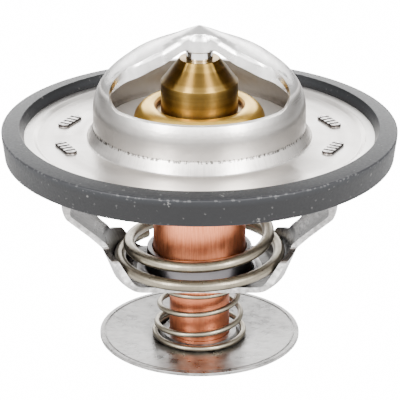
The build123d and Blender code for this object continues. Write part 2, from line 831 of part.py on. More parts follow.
with BuildPart() as bypass_spring:
    with BuildLine() as bypass_coil:
        bypass_end = bypass_flat_turn + bypass_closed_turns
        Spline(*coil_line(bypass_start_turn, bypass_end, -90, bypass_radius, bypass_height))
    with BuildSketch(Plane(origin=bypass_coil.line @ 0, z_dir=bypass_coil.line % 0)):
        Circle(bypass_wire / 2)
    sweep()
bypass_spring.part.label = "bypass_spring"
export_step(bypass_spring.part, "parts/bypass_spring.step")

# ---------------------------------------------------------------------------
# Bypass disc: shallow dished plate with a raised centre that slides on the stem
# ---------------------------------------------------------------------------
clip_radius = stem_radius + clip_reach
boss_radius = clip_radius + boss_clearance
disc_seat_inner = boss_radius + boss_slope
disc_seat_outer = disc_seat_inner + disc_seat_width
disc_rim_at = disc_radius - disc_rim_width
disc_hole = stem_radius + disc_fit
rim_face = disc_rise + disc_sheet
with BuildPart() as bypass_disc:
    with BuildSketch(Plane.XZ):
        with BuildLine():
            Polyline(
                (disc_hole, boss_rise),
                (boss_radius, boss_rise),
                (disc_seat_inner, 0),
                (disc_seat_outer, 0),
                (disc_rim_at, disc_rise),
                (disc_radius, disc_rise),
                (disc_radius, rim_face),
                (disc_rim_at + disc_line_width / 2, rim_face),
                (disc_rim_at, rim_face - disc_line_depth),
                (disc_rim_at - disc_line_width / 2, rim_face - disc_line_depth / 4),
                (disc_seat_outer, disc_sheet),
                (disc_seat_inner + boss_wall, disc_sheet),
                (boss_radius + boss_wall, boss_rise + disc_sheet),
                (disc_hole, boss_rise + disc_sheet),
                close=True,
            )
        make_face()
    revolve(axis=Axis.Z)
bypass_disc.part.label = "bypass_disc"
export_step(bypass_disc.part, "parts/bypass_disc.step")

# ---------------------------------------------------------------------------
# Retaining clip: open ring in the groove of the stem, under the bypass disc
# ---------------------------------------------------------------------------
with BuildPart() as retaining_clip:
    with BuildSketch(Plane.XY.offset(groove_bottom + clip_fit / 2)):
        Circle(clip_radius)
        Circle(clip_groove + clip_fit, mode=Mode.SUBTRACT)
        with Locations((0, clip_radius)):
            Rectangle(clip_opening, 2 * clip_radius, mode=Mode.SUBTRACT)
    extrude(amount=clip_thickness)
retaining_clip.part.label = "retaining_clip"
export_step(retaining_clip.part, "parts/retaining_clip.step")
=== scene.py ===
from math import cos, pi, radians, sin, tan

import bmesh
import bpy
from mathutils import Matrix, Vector


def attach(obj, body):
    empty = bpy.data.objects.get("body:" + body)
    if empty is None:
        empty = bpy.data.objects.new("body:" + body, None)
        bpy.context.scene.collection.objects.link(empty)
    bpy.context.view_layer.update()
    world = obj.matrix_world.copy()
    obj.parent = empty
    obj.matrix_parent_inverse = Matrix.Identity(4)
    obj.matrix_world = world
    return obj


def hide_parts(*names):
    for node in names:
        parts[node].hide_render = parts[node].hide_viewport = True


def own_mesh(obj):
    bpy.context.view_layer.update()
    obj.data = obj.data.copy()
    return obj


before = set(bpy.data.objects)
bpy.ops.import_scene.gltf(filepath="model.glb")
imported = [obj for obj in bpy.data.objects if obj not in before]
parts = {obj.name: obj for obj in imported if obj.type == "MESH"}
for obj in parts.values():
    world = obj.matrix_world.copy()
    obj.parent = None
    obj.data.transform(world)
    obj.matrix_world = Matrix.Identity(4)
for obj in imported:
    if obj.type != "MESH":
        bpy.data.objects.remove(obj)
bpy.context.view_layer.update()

# ---------------------------------------------------------------------------
# Flange and bridge.
# One pressing of thin stainless sheet: the plate, the drawn collar and the bridge
# strip between two windows.  The press leaves it satin; its dome is painted brighter, a painted highlight.
# ---------------------------------------------------------------------------
mm = 0.001  # the thermostat's sizes are written in millimetres, and the scene is in metres


def new_finish(name):
    """A material with its tree and its Principled surface."""
    finish = bpy.data.materials.new(name)
    finish.use_nodes = True
    return finish, finish.node_tree, finish.node_tree.nodes["Principled BSDF"]


def new_metal(name):
    """A finish of bare metal."""
    finish, tree, surface = new_finish(name)
    surface.inputs["Metallic"].default_value = 1.0
    return finish, tree, surface


def put(tree, kind, **settings):
    """A node; inputs is a table from sockets to their values, the rest are its properties."""
    node = tree.nodes.new(kind)
    for socket, value in settings.pop("inputs", {}).items():
        node.inputs[socket].default_value = value
    for name, value in settings.items():
        setattr(node, name, value)
    return node


def start_group(name, numbers, results):
    """A node group with number inputs and the named results, and its two end nodes."""
    group = bpy.data.node_groups.new(name, "ShaderNodeTree")
    for label, value in numbers.items():
        socket = group.interface.new_socket(name=label, in_out="INPUT", socket_type="NodeSocketFloat")
        socket.default_value = value
    for label in results:
        group.interface.new_socket(name=label, in_out="OUTPUT", socket_type="NodeSocketFloat")
    return group, group.nodes.new("NodeGroupInput"), group.nodes.new("NodeGroupOutput")


def place_group(tree, group, **numbers):
    """The group placed in a material with its own values."""
    node = tree.nodes.new("ShaderNodeGroup")
    node.node_tree = group
    for label, value in numbers.items():
        node.inputs[label.replace("_", " ")].default_value = value
    return node


def round_axis(tree):
    """Distance from the thermostat axis and height, in metres, and angle round it, in radians."""
    point = put(tree, "ShaderNodeTexCoord")
    split = put(tree, "ShaderNodeSeparateXYZ")
    tree.links.new(point.outputs["Object"], split.inputs[0])
    flat = put(tree, "ShaderNodeCombineXYZ")
    tree.links.new(split.outputs["X"], flat.inputs["X"])
    tree.links.new(split.outputs["Y"], flat.inputs["Y"])
    radius = put(tree, "ShaderNodeVectorMath", operation="LENGTH")
    tree.links.new(flat.outputs[0], radius.inputs[0])
    turn = put(tree, "ShaderNodeMath", operation="ARCTAN2")
    tree.links.new(split.outputs["Y"], turn.inputs[0])
    tree.links.new(split.outputs["X"], turn.inputs[1])
    return radius.outputs["Value"], split.outputs["Z"], turn.outputs[0]


def times(tree, value, factor):
    """value times a number or another value."""
    node = put(tree, "ShaderNodeMath", operation="MULTIPLY")
    tree.links.new(value, node.inputs[0])
    if isinstance(factor, (int, float)):
        node.inputs[1].default_value = factor
    else:
        tree.links.new(factor, node.inputs[1])
    return node.outputs[0]


def larger(tree, first, second):
    """The larger of two values."""
    node = put(tree, "ShaderNodeMath", operation="MAXIMUM")
    tree.links.new(first, node.inputs[0])
    tree.links.new(second, node.inputs[1])
    return node.outputs[0]


# A Mix node has an A, a B and a Result for each kind of data, so they go by number.
number_a = 2
number_b = 3
number_result = 0
colour_a = 6
colour_b = 7
colour_result = 2


def turning_lines():
    """Fine rings left by a tool or a press: they run round the axis and vary across it."""
    group, given, result = start_group(
        "ring lines", {"Per metre": 4000.0, "Along ring": 1.0, "Coarse share": 0.4}, ["Lines", "Bands"]
    )
    radius, height, turn = round_axis(group)
    across = put(group, "ShaderNodeCombineXYZ")
    group.links.new(times(group, radius, given.outputs["Per metre"]), across.inputs["X"])
    group.links.new(times(group, height, given.outputs["Per metre"]), across.inputs["Y"])
    group.links.new(times(group, turn, given.outputs["Along ring"]), across.inputs["Z"])
    fine = put(group, "ShaderNodeTexNoise", inputs={"Scale": 1.0, "Detail": 2.0, "Roughness": 0.6})
    group.links.new(across.outputs[0], fine.inputs["Vector"])
    coarse = put(group, "ShaderNodeTexNoise", inputs={"Scale": 0.16, "Detail": 3.0, "Roughness": 0.55})
    group.links.new(across.outputs[0], coarse.inputs["Vector"])
    mixed = put(group, "ShaderNodeMix", data_type="FLOAT")
    group.links.new(given.outputs["Coarse share"], mixed.inputs["Factor"])
    group.links.new(fine.outputs[0], mixed.inputs[number_a])
    group.links.new(coarse.outputs[0], mixed.inputs[number_b])
    group.links.new(mixed.outputs[number_result], result.inputs["Lines"])
    group.links.new(coarse.outputs[0], result.inputs["Bands"])
    return group


def upright_marks():
    """Fine scratches along the axis or out from it, left by a drawing die or a press tool."""
    group, given, result = start_group("drawing marks", {"Round": 90.0, "Up": 120.0}, ["Marks"])
    _, height, turn = round_axis(group)
    across = put(group, "ShaderNodeCombineXYZ")
    group.links.new(times(group, turn, given.outputs["Round"]), across.inputs["X"])
    group.links.new(times(group, height, given.outputs["Up"]), across.inputs["Y"])
    texture = put(group, "ShaderNodeTexNoise", inputs={"Scale": 1.0, "Detail": 4.0, "Roughness": 0.65})
    group.links.new(across.outputs[0], texture.inputs["Vector"])
    group.links.new(texture.outputs[0], result.inputs["Marks"])
    return group


def cloudy_patches():
    """Soft stains and mottling of bare metal or rubber, at two sizes."""
    group, given, result = start_group(
        "cloudy patches", {"Per metre": 120.0, "Contrast": 2.0}, ["Patches", "Grains"]
    )
    grains_for_each_patch = 14.0
    point = put(group, "ShaderNodeTexCoord")
    large = put(group, "ShaderNodeTexNoise", inputs={"Detail": 5.0, "Roughness": 0.6})
    small = put(group, "ShaderNodeTexNoise", inputs={"Detail": 2.0, "Roughness": 0.5})
    group.links.new(point.outputs["Object"], large.inputs["Vector"])
    group.links.new(point.outputs["Object"], small.inputs["Vector"])
    group.links.new(given.outputs["Per metre"], large.inputs["Scale"])
    finer = times(group, given.outputs["Per metre"], grains_for_each_patch)
    group.links.new(finer, small.inputs["Scale"])
    for texture, label in ((large, "Patches"), (small, "Grains")):
        centred = put(group, "ShaderNodeMath", operation="SUBTRACT", inputs={1: 0.5})
        group.links.new(texture.outputs[0], centred.inputs[0])
        stretched = put(group, "ShaderNodeMath", operation="MULTIPLY_ADD", use_clamp=True, inputs={2: 0.5})
        group.links.new(centred.outputs[0], stretched.inputs[0])
        group.links.new(given.outputs["Contrast"], stretched.inputs[1])
        group.links.new(stretched.outputs[0], result.inputs[label])
    return group


def worn_edges():
    """Outer edges, where plating or grime is rubbed bright."""
    group, given, result = start_group("worn edges", {"From": 0.52, "To": 0.6}, ["Edge"])
    shape = put(group, "ShaderNodeNewGeometry")
    rubbed = put(group, "ShaderNodeMapRange", clamp=True)
    group.links.new(shape.outputs["Pointiness"], rubbed.inputs["Value"])
    group.links.new(given.outputs["From"], rubbed.inputs["From Min"])
    group.links.new(given.outputs["To"], rubbed.inputs["From Max"])
    group.links.new(rubbed.outputs[0], result.inputs["Edge"])
    return group


ring_lines = turning_lines()
drawing_marks = upright_marks()
patches = cloudy_patches()
edges_worn = worn_edges()


def between(tree, share, low, high):
    """A colour between two others, by a value from 0 to 1; each is a colour or a socket."""
    node = put(tree, "ShaderNodeMix", data_type="RGBA")
    for colour, socket in ((low, colour_a), (high, colour_b)):
        if isinstance(colour, tuple):
            node.inputs[socket].default_value = (*colour, 1.0)
        else:
            tree.links.new(colour, node.inputs[socket])
    tree.links.new(share, node.inputs["Factor"])
    return node.outputs[colour_result]


def spread(tree, value, low, high, start=0.0, end=1.0):
    """value carried from start-end to low-high, held at the ends."""
    node = put(tree, "ShaderNodeMapRange", clamp=True)
    tree.links.new(value, node.inputs["Value"])
    node.inputs["From Min"].default_value = start
    node.inputs["From Max"].default_value = end
    node.inputs["To Min"].default_value = low
    node.inputs["To Max"].default_value = high
    return node.outputs[0]


def rising(tree, length, start, end):
    """0 where a length is under start, 1 where it is over end, both in millimetres."""
    return spread(tree, length, 0.0, 1.0, start * mm, end * mm)


def falling(tree, length, start, end):
    """1 where a length is under start, 0 where it is over end, both in millimetres."""
    return spread(tree, length, 1.0, 0.0, start * mm, end * mm)


def near(tree, length, middle, reach):
    """1 where a length is at the middle, falling to 0 at reach from it, in millimetres."""
    away = put(tree, "ShaderNodeMath", operation="SUBTRACT", inputs={1: middle * mm})
    tree.links.new(length, away.inputs[0])
    size = put(tree, "ShaderNodeMath", operation="ABSOLUTE")
    tree.links.new(away.outputs[0], size.inputs[0])
    return falling(tree, size.outputs[0], 0.0, reach)


def paint(tree, surface, colour):
    """Gives the surface a colour that varies over it."""
    tree.links.new(colour, surface.inputs["Base Color"])


def lay_over(tree, surface, share, colour, most=1.0):
    """Lays a colour over the one the surface has, by a share from 0 to 1 of the most it covers."""
    below = surface.inputs["Base Color"].links[0].from_socket
    if most != 1.0:
        share = times(tree, share, most)
    paint(tree, surface, between(tree, share, below, colour))


def roughen(tree, surface, value, smooth, rough, start=0.0, end=1.0):
    """Roughness from smooth to rough, as value goes from start to end."""
    tree.links.new(spread(tree, value, smooth, rough, start, end), surface.inputs["Roughness"])


def relief(tree, surface, height, depth):
    """Gives the surface the relief of a height value, depth in metres."""
    bump = put(tree, "ShaderNodeBump", inputs={"Strength": 1.0, "Distance": depth})
    tree.links.new(height, bump.inputs["Height"])
    tree.links.new(bump.outputs[0], surface.inputs["Normal"])


def facing_in(tree):
    """1 on faces that look towards the thermostat axis, 0 on those that look away from it."""
    point = put(tree, "ShaderNodeTexCoord")
    flat = put(tree, "ShaderNodeVectorMath", operation="MULTIPLY", inputs={1: (1, 1, 0)})
    outward = put(tree, "ShaderNodeVectorMath", operation="NORMALIZE")
    facing = put(tree, "ShaderNodeVectorMath", operation="DOT_PRODUCT")
    tree.links.new(point.outputs["Object"], flat.inputs[0])
    tree.links.new(flat.outputs[0], outward.inputs[0])
    tree.links.new(outward.outputs[0], facing.inputs[0])
    tree.links.new(point.outputs["Normal"], facing.inputs[1])
    return spread(tree, facing.outputs["Value"], 1.0, 0.0, start=-0.4, end=0.1)


def sheet_steel(name, bright, grey, smooth, rough, depth, lines=2500.0):
    """Bare stainless steel with ring lines, stains and rubbed edges."""
    rubbed_bright = (0.93, 0.92, 0.90)
    finish, tree, surface = new_metal(name)
    marks = place_group(tree, ring_lines, Per_metre=lines, Along_ring=0.7, Coarse_share=0.45)
    stains = place_group(tree, patches, Per_metre=110.0, Contrast=1.8)
    rubbed = place_group(tree, edges_worn)
    paint(tree, surface, between(tree, stains.outputs["Patches"], grey, bright))
    lay_over(tree, surface, marks.outputs["Bands"], grey, most=0.35)
    lay_over(tree, surface, rubbed.outputs["Edge"], rubbed_bright, most=0.5)
    roughen(tree, surface, marks.outputs["Bands"], smooth, rough, start=0.3, end=0.7)
    grains = put(tree, "ShaderNodeMath", operation="MULTIPLY_ADD", inputs={1: 1.5})
    tree.links.new(stains.outputs["Grains"], grains.inputs[0])
    tree.links.new(marks.outputs["Lines"], grains.inputs[2])
    relief(tree, surface, grains.outputs[0], depth)
    return finish, tree, surface


def dress(node, finish, angle=35.0):
    """Gives a CAD node its finish and smooth shading between its sharp edges."""
    piece = parts[node]
    piece.data.materials.clear()
    piece.data.materials.append(finish)
    weld = piece.modifiers.new("join facets", "WELD")
    weld.merge_threshold = 1e-6
    split = piece.modifiers.new("keep sharp edges", "EDGE_SPLIT")
    split.split_angle = radians(angle)
    split.use_edge_sharp = False
    piece.data.shade_smooth()


inside_shade_heights = (39.5, 40.5)
window_wall_radii = (16.8, 17.4)
window_wall_heights = (47.2, 47.8)
dome_heights = (46.8, 48.5)
foot_radius = 18.5
foot_height = 38.6
foot_reach = 2.2
crease_radius = 18.2
crease_height = 39.8

pressed_bright = (0.80, 0.765, 0.725)
pressed_grey = (0.53, 0.50, 0.47)
inside_shade_brown_grey = (0.23, 0.205, 0.18)
dome_painted_highlight = (0.94, 0.925, 0.91)
smear_grey = (0.36, 0.35, 0.345)
streak_grey = (0.30, 0.285, 0.27)
crease_dark = (0.06, 0.055, 0.05)
wall_roughness = 0.62

pressed_steel, tree, surface = sheet_steel(
    "pressed stainless", pressed_bright, pressed_grey, smooth=0.24, rough=0.38, depth=8e-6
)
radius, height, turn = round_axis(tree)
# Faces that look in towards the axis above the plate, inside the collar and its windows, are painted brown
# grey: painted shade.
inside_painted_shade = times(tree, facing_in(tree), rising(tree, height, *inside_shade_heights))
lay_over(tree, surface, inside_painted_shade, inside_shade_brown_grey, most=0.75)
in_windows = falling(tree, radius, *window_wall_radii)
under_dome = falling(tree, height, *window_wall_heights)
dull_walls = times(tree, times(tree, in_windows, under_dome), wall_roughness)
satin = surface.inputs["Roughness"].links[0].from_socket
tree.links.new(larger(tree, satin, dull_walls), surface.inputs["Roughness"])

# The dome is painted brighter, a painted highlight, and smeared by handling.
on_dome = rising(tree, height, *dome_heights)
lay_over(tree, surface, on_dome, dome_painted_highlight, most=0.8)
smears = place_group(tree, patches, Per_metre=330.0, Contrast=3.0)
lay_over(tree, surface, times(tree, smears.outputs["Patches"], on_dome), smear_grey, most=0.5)

# Streaks across the flared foot of the collar, and a row of dark dashes in its crease.
tool_marks = place_group(tree, drawing_marks, Round=70.0, Up=60.0)
streaks = spread(tree, tool_marks.outputs["Marks"], 0.0, 1.0, start=0.5, end=0.68)
foot_by_height = near(tree, height, foot_height, foot_reach)
on_foot = times(tree, foot_by_height, near(tree, radius, foot_radius, foot_reach))
lay_over(tree, surface, times(tree, streaks, on_foot), streak_grey, most=0.45)
dashes = place_group(tree, drawing_marks, Round=42.0, Up=900.0)
broken = spread(tree, dashes.outputs["Marks"], 0.0, 1.0, start=0.50, end=0.54)
crease_line = spread(tree, near(tree, height, crease_height, reach=0.4), 0.0, 1.0, start=0.2, end=0.5)
in_crease = times(tree, crease_line, near(tree, radius, crease_radius, reach=0.6))
lay_over(tree, surface, times(tree, broken, in_crease), crease_dark)
dress("flange_bridge", pressed_steel)

# ---------------------------------------------------------------------------
# Seal ring.
# Moulded rubber of U section, pushed over the rim of the flange.  Matte dark
# grey, with a fine pale line and some lint along its upper corner, and dust.
# ---------------------------------------------------------------------------


def rounded(corners):
    """Outline points from (radius, height, round) corners, all in millimetres."""
    round_steps = 6
    most_of_side = 0.49
    outline = []
    count = len(corners)
    for index, (x, z, bend) in enumerate(corners):
        here = Vector((x, z))
        if not bend:
            outline.append(here)
            continue
        before = Vector(corners[index - 1][:2]) - here
        after = Vector(corners[(index + 1) % count][:2]) - here
        half = before.angle(after) / 2
        reach = min(bend / tan(half), before.length * most_of_side, after.length * most_of_side)
        start = here + before.normalized() * reach
        end = here + after.normalized() * reach
        for step in range(round_steps + 1):
            part_way = step / round_steps
            left = 1 - part_way
            outline.append(start * left**2 + here * 2 * part_way * left + end * part_way**2)
    return [(point.x, point.y) for point in outline]


def shaded_piece(name, body, angle):
    """The finished body as a piece with smooth faces, sharp where they meet at the angle."""
    bmesh.ops.recalc_face_normals(body, faces=body.faces)
    mesh = bpy.data.meshes.new(name)
    body.to_mesh(mesh)
    body.free()
    mesh.shade_smooth()
    mesh.set_sharp_from_angle(angle=radians(angle))
    piece = bpy.data.objects.new(name, mesh)
    bpy.context.scene.collection.objects.link(piece)
    return piece


def turned(name, corners, sides=256):
    """A ring or a closed body of revolution round the thermostat axis from its section."""
    on_axis = 1e-6
    outline = rounded(corners)
    body = bmesh.new()
    rings = []
    for x, z in outline:
        if x < on_axis:
            rings.append([body.verts.new((0, 0, z * mm))])
            continue
        ring = []
        for side in range(sides):
            angle = 2 * pi * side / sides
            ring.append(body.verts.new((x * cos(angle) * mm, x * sin(angle) * mm, z * mm)))
        rings.append(ring)
    for first, second in zip(rings, rings[1:] + rings[:1]):
        if len(first) == 1 and len(second) == 1:
            continue
        for side in range(sides):
            after = (side + 1) % sides
            if len(first) == 1:
                body.faces.new((first[0], second[after], second[side]))
            elif len(second) == 1:
                body.faces.new((first[side], first[after], second[0]))
            else:
                body.faces.new((first[side], first[after], second[after], second[side]))
    return shaded_piece(name, body, angle=30)


def stand_in(piece, node, body, finish):
    """The piece takes the place of a CAD node and rides with its body."""
    piece.data.materials.append(finish)
    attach(piece, body)
    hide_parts(node)


def dust_specks():
    """Small pale flecks of dust and lint, thinly scattered."""
    group, given, result = start_group(
        "dust specks", {"Per metre": 900.0, "Share": 0.05, "Size": 0.2}, ["Specks"]
    )
    rags_for_each_speck = 3.0
    point = put(group, "ShaderNodeTexCoord")
    ragged = put(group, "ShaderNodeTexNoise", inputs={"Detail": 2.0, "Roughness": 0.7})
    group.links.new(point.outputs["Object"], ragged.inputs["Vector"])
    group.links.new(times(group, given.outputs["Per metre"], rags_for_each_speck), ragged.inputs["Scale"])
    scaled = put(group, "ShaderNodeVectorMath", operation="SCALE")
    group.links.new(point.outputs["Object"], scaled.inputs[0])
    group.links.new(given.outputs["Per metre"], scaled.inputs["Scale"])
    moved = put(group, "ShaderNodeVectorMath", operation="ADD")
    group.links.new(scaled.outputs[0], moved.inputs[0])
    group.links.new(ragged.outputs["Color"], moved.inputs[1])
    cells = put(group, "ShaderNodeTexVoronoi", feature="F1", inputs={"Scale": 1.0})
    group.links.new(moved.outputs[0], cells.inputs["Vector"])
    in_speck = put(group, "ShaderNodeMath", operation="LESS_THAN")
    group.links.new(cells.outputs["Distance"], in_speck.inputs[0])
    group.links.new(given.outputs["Size"], in_speck.inputs[1])
    chosen = put(group, "ShaderNodeMath", operation="LESS_THAN")
    split = put(group, "ShaderNodeSeparateColor")
    group.links.new(cells.outputs["Color"], split.inputs[0])
    group.links.new(split.outputs[0], chosen.inputs[0])
    group.links.new(given.outputs["Share"], chosen.inputs[1])
    group.links.new(times(group, in_speck.outputs[0], chosen.outputs[0]), result.inputs["Specks"])
    return group


specks = dust_specks()

rim_top = 38.2
rim_bottom = 37.3
rim_radius = 31.8
seal_fit = 0.02
seal_radius = 33.7
seal_foot_radius = 33.15
seal_top = 39.5
seal_crown = 39.92
seal_bottom = 34.8
lip_lift = 0.05
lip_tip_radius = 30.6
upper_lip_radius = 29.8
lower_lip_radius = 30.1
groove_radius = rim_radius + seal_fit
mould_edge_low = (33.52, 37.95)
mould_edge_high = (33.57, 38.1)
bloom_height = 39.1
bloom_reach = 0.9
lint_height = 39.4
lint_radius = 33.6

rubber_dark = (0.0012, 0.0012, 0.0016)
rubber_pale = (0.0028, 0.0028, 0.0035)
fine_dust_grey = (0.20, 0.195, 0.19)
fleck_grey = (0.20, 0.195, 0.185)
bloom_blue = (0.10, 0.115, 0.135)
corner_grey = (0.03, 0.03, 0.033)
lint_grey = (0.17, 0.17, 0.17)

seal_rubber, tree, surface = new_finish("seal rubber")
surface.inputs["Specular IOR Level"].default_value = 0.275
stains = place_group(tree, patches, Per_metre=160.0, Contrast=1.6)
flecks = place_group(tree, specks, Per_metre=700.0, Share=0.12, Size=0.17)
fine_dust = place_group(tree, specks, Per_metre=1700.0, Share=0.12, Size=0.27)
lint = place_group(tree, specks, Per_metre=1500.0, Share=0.55, Size=0.42)
paint(tree, surface, between(tree, stains.outputs["Patches"], rubber_dark, rubber_pale))
lay_over(tree, surface, fine_dust.outputs["Specks"], fine_dust_grey, most=0.16)
lay_over(tree, surface, flecks.outputs["Specks"], fleck_grey, most=0.35)
radius, height, turn = round_axis(tree)
lay_over(tree, surface, near(tree, height, bloom_height, bloom_reach), bloom_blue, most=0.05)
at_corner_height = near(tree, height, lint_height, reach=0.3)
on_corner = times(tree, at_corner_height, near(tree, radius, lint_radius, reach=0.5))
lay_over(tree, surface, on_corner, corner_grey, most=0.5)
lay_over(tree, surface, times(tree, on_corner, lint.outputs["Specks"]), lint_grey, most=0.32)
roughen(tree, surface, stains.outputs["Grains"], smooth=0.40, rough=0.52)
relief(tree, surface, stains.outputs["Grains"], depth=1.0e-5)

seal = turned(
    "seal",
    [
        (seal_foot_radius, seal_bottom, 0.35),
        (*mould_edge_low, 0.0),
        (*mould_edge_high, 0.0),
        (seal_radius, seal_top, 0.35),
        (lip_tip_radius, seal_crown, 0.18),
        (upper_lip_radius, rim_top + lip_lift, 0.0),
        (groove_radius, rim_top + seal_fit, 0.0),
        (groove_radius, rim_bottom - seal_fit, 0.0),
        (lower_lip_radius, rim_bottom - seal_fit, 0.0),
        (lip_tip_radius, seal_bottom, 0.2),
    ],
    sides=320,
)
stand_in(seal, "seal_ring", "frame", seal_rubber)

# ---------------------------------------------------------------------------
# Lower frame.
# A strip of stainless bent into a bowl for the main spring, with two arms whose
# ends pass through the plate and are twisted and punched over on top of it.
# ---------------------------------------------------------------------------
bowl_heights = (23.5, 29.0)
staked_heights = (37.6, 37.8)
stake_dents_from = 38.0
stake_dents_to = 38.12

strip_bright = (0.60, 0.58, 0.57)
strip_grey = (0.30, 0.285, 0.28)
blotch_grey = (0.15, 0.145, 0.14)
sheared_grey = (0.10, 0.095, 0.09)
bowl_painted_shade = (0.065, 0.061, 0.058)
punched_bright = (0.74, 0.71, 0.68)
punched_painted_shade = (0.035, 0.03, 0.028)

strip_steel, tree, surface = sheet_steel(
    "strip stainless", strip_bright, strip_grey, smooth=0.22, rough=0.42, depth=2e-5, lines=900.0
)
grime = place_group(tree, patches, Per_metre=900.0, Contrast=5.0)
blotches = place_group(tree, patches, Per_metre=420.0, Contrast=4.0)
chewed = place_group(tree, patches, Per_metre=1500.0, Contrast=4.0)
lay_over(tree, surface, blotches.outputs["Patches"], blotch_grey, most=0.55)

# The cut sides of the strip face along Y, rough and grimy from the shears.
point = put(tree, "ShaderNodeTexCoord")
faces = put(tree, "ShaderNodeSeparateXYZ")
tree.links.new(point.outputs["Normal"], faces.inputs[0])
sideways = put(tree, "ShaderNodeMath", operation="ABSOLUTE")
tree.links.new(faces.outputs["Y"], sideways.inputs[0])
cut_sides = spread(tree, sideways.outputs[0], 0.0, 1.0, start=0.6, end=0.9)
sheared = times(tree, cut_sides, grime.outputs["Patches"])
lay_over(tree, surface, sheared, sheared_grey, most=0.6)

# The inside of the bowl and the upper face of its base are painted dark: painted shade under the plate and
# the spring.
radius, height, turn = round_axis(tree)
facing_up = spread(tree, faces.outputs["Z"], 0.0, 1.0, start=0.8, end=0.97)
bowl_shade_mask = times(tree, larger(tree, facing_in(tree), facing_up), falling(tree, height, *bowl_heights))
lay_over(tree, surface, bowl_shade_mask, bowl_painted_shade)

# The staked ends are bright on top; their dents, grooves and sides are painted dark, painted shade of the
# punched relief.
staked = rising(tree, height, *staked_heights)
lay_over(tree, surface, staked, punched_bright, most=0.9)
fewer_on_top = spread(tree, height, 1.0, 0.7, stake_dents_from * mm, stake_dents_to * mm)
dents = times(tree, chewed.outputs["Patches"], fewer_on_top)
side_faces = spread(tree, faces.outputs["Z"], 1.0, 0.0, start=0.75, end=0.99)
lay_over(tree, surface, times(tree, staked, larger(tree, dents, side_faces)), punched_painted_shade)
dress("lower_frame", strip_steel, angle=32.0)

# The base of the strip is drawn up into a neck round the cup, smoother than the strip
# and cut flush with its edges.
neck_bore = 8.22
neck_radius = 9.12
neck_top = 17.4
neck_foot_radius = 10.9
neck_foot_round = 1.5
base_top = 13.3
base_cover = 0.02
neck_root_radius = 8.6
neck_root = 12.4
neck_foot_inner = 13.2
neck_foot_outer = 13.25
neck_half_width = 8.98
neck_bore_shade_radii = (8.5, 8.9)

neck_pale_in_shade = (0.17, 0.16, 0.167)
neck_grey_in_shade = (0.085, 0.08, 0.083)
neck_bore_painted_shade = (0.05, 0.048, 0.046)

# Its steel is painted much darker than the strip's, as painted shade, and the inside of its bore darker
# still, as painted shade.
drawn_neck, tree, surface = sheet_steel(
    "drawn neck", neck_pale_in_shade, neck_grey_in_shade, smooth=0.22, rough=0.36, depth=6e-6, lines=900.0
)
radius, height, turn = round_axis(tree)
lay_over(tree, surface, falling(tree, radius, *neck_bore_shade_radii), neck_bore_painted_shade, most=0.9)

neck = turned(
    "frame_neck",
    [
        (neck_bore, neck_root, 0.0),
        (neck_root_radius, neck_root, 0.0),
        (neck_root_radius, neck_foot_inner, 0.0),
        (neck_foot_radius, neck_foot_outer, 0.0),
        (neck_foot_radius, base_top + base_cover, 0.0),
        (neck_radius, base_top + base_cover, neck_foot_round),
        (neck_radius, neck_top, 0.3),
        (neck_bore, neck_top, 0.1),
    ],
)
for corner in neck.data.vertices:
    corner.co.y = max(-neck_half_width * mm, min(neck_half_width * mm, corner.co.y))
neck.data.materials.append(drawn_neck)
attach(neck, "frame")

# ---------------------------------------------------------------------------
# Element cup.
# Drawn copper, bright and orange brown, with upright drawing marks and a few
# darker stains; its stem is painted darker than the cup, as painted shade.
# ---------------------------------------------------------------------------
part_gap = 0.02
cup_radius = 8.0
cup_bore = 7.15
cup_shoulder = 10.97
cup_floor = 11.82
cup_flange_radius = 9.6
cup_flange_bottom = 40.82
cup_flange_top = 41.52
stem_radius = 5.25
stem_bore = 4.2
stem_end = 0.05
stem_solid = 3.0
clip_groove_radius = 4.7
clip_groove_bottom = 0.3
clip_groove_top = 0.63
stem_shade_radii = (5.4, 6.0)

copper_brown = (0.57, 0.168, 0.075)
copper_bright = (0.90, 0.335, 0.17)
copper_stain = (0.40, 0.115, 0.05)
copper_grain = (0.50, 0.15, 0.07)
stem_painted_shade = (0.34, 0.095, 0.045)

drawn_copper, tree, surface = new_metal("drawn copper")
marks = place_group(tree, drawing_marks, Round=48.0, Up=220.0)
stains = place_group(tree, patches, Per_metre=220.0, Contrast=2.2)
streaks = spread(tree, marks.outputs["Marks"], 0.0, 1.0, start=0.34, end=0.64)
paint(tree, surface, between(tree, streaks, copper_brown, copper_bright))
lay_over(tree, surface, stains.outputs["Patches"], copper_stain, most=0.4)
lay_over(tree, surface, stains.outputs["Grains"], copper_grain, most=0.2)
radius, height, turn = round_axis(tree)
# The stem is painted darker: painted shade.
lay_over(tree, surface, falling(tree, radius, *stem_shade_radii), stem_painted_shade, most=0.45)
roughen(tree, surface, marks.outputs["Marks"], smooth=0.28, rough=0.44, start=0.3, end=0.7)
relief(tree, surface, marks.outputs["Marks"], depth=1.6e-5)

cup = turned(
    "cup",
    [
        (0.0, stem_end, 0.0),
        (clip_groove_radius, stem_end, 0.0),
        (stem_radius, stem_end, 0.05),
        (stem_radius, clip_groove_bottom, 0.0),
        (clip_groove_radius, clip_groove_bottom, 0.0),
        (clip_groove_radius, clip_groove_top, 0.0),
        (stem_radius, clip_groove_top, 0.05),
        (stem_radius, cup_shoulder, 0.35),
        (cup_radius, cup_shoulder, 0.9),
        (cup_radius, cup_flange_bottom, 0.0),
        (cup_flange_radius, cup_flange_bottom, 0.1),
        (cup_flange_radius, cup_flange_top, 0.1),
        (cup_bore, cup_flange_top, 0.0),
        (cup_bore, cup_floor, 0.4),
        (stem_bore, cup_floor, 0.3),
        (stem_bore, stem_solid, 0.3),
        (0.0, stem_solid, 0.0),
    ],
)
stand_in(cup, "element_cup", "element", drawn_copper)

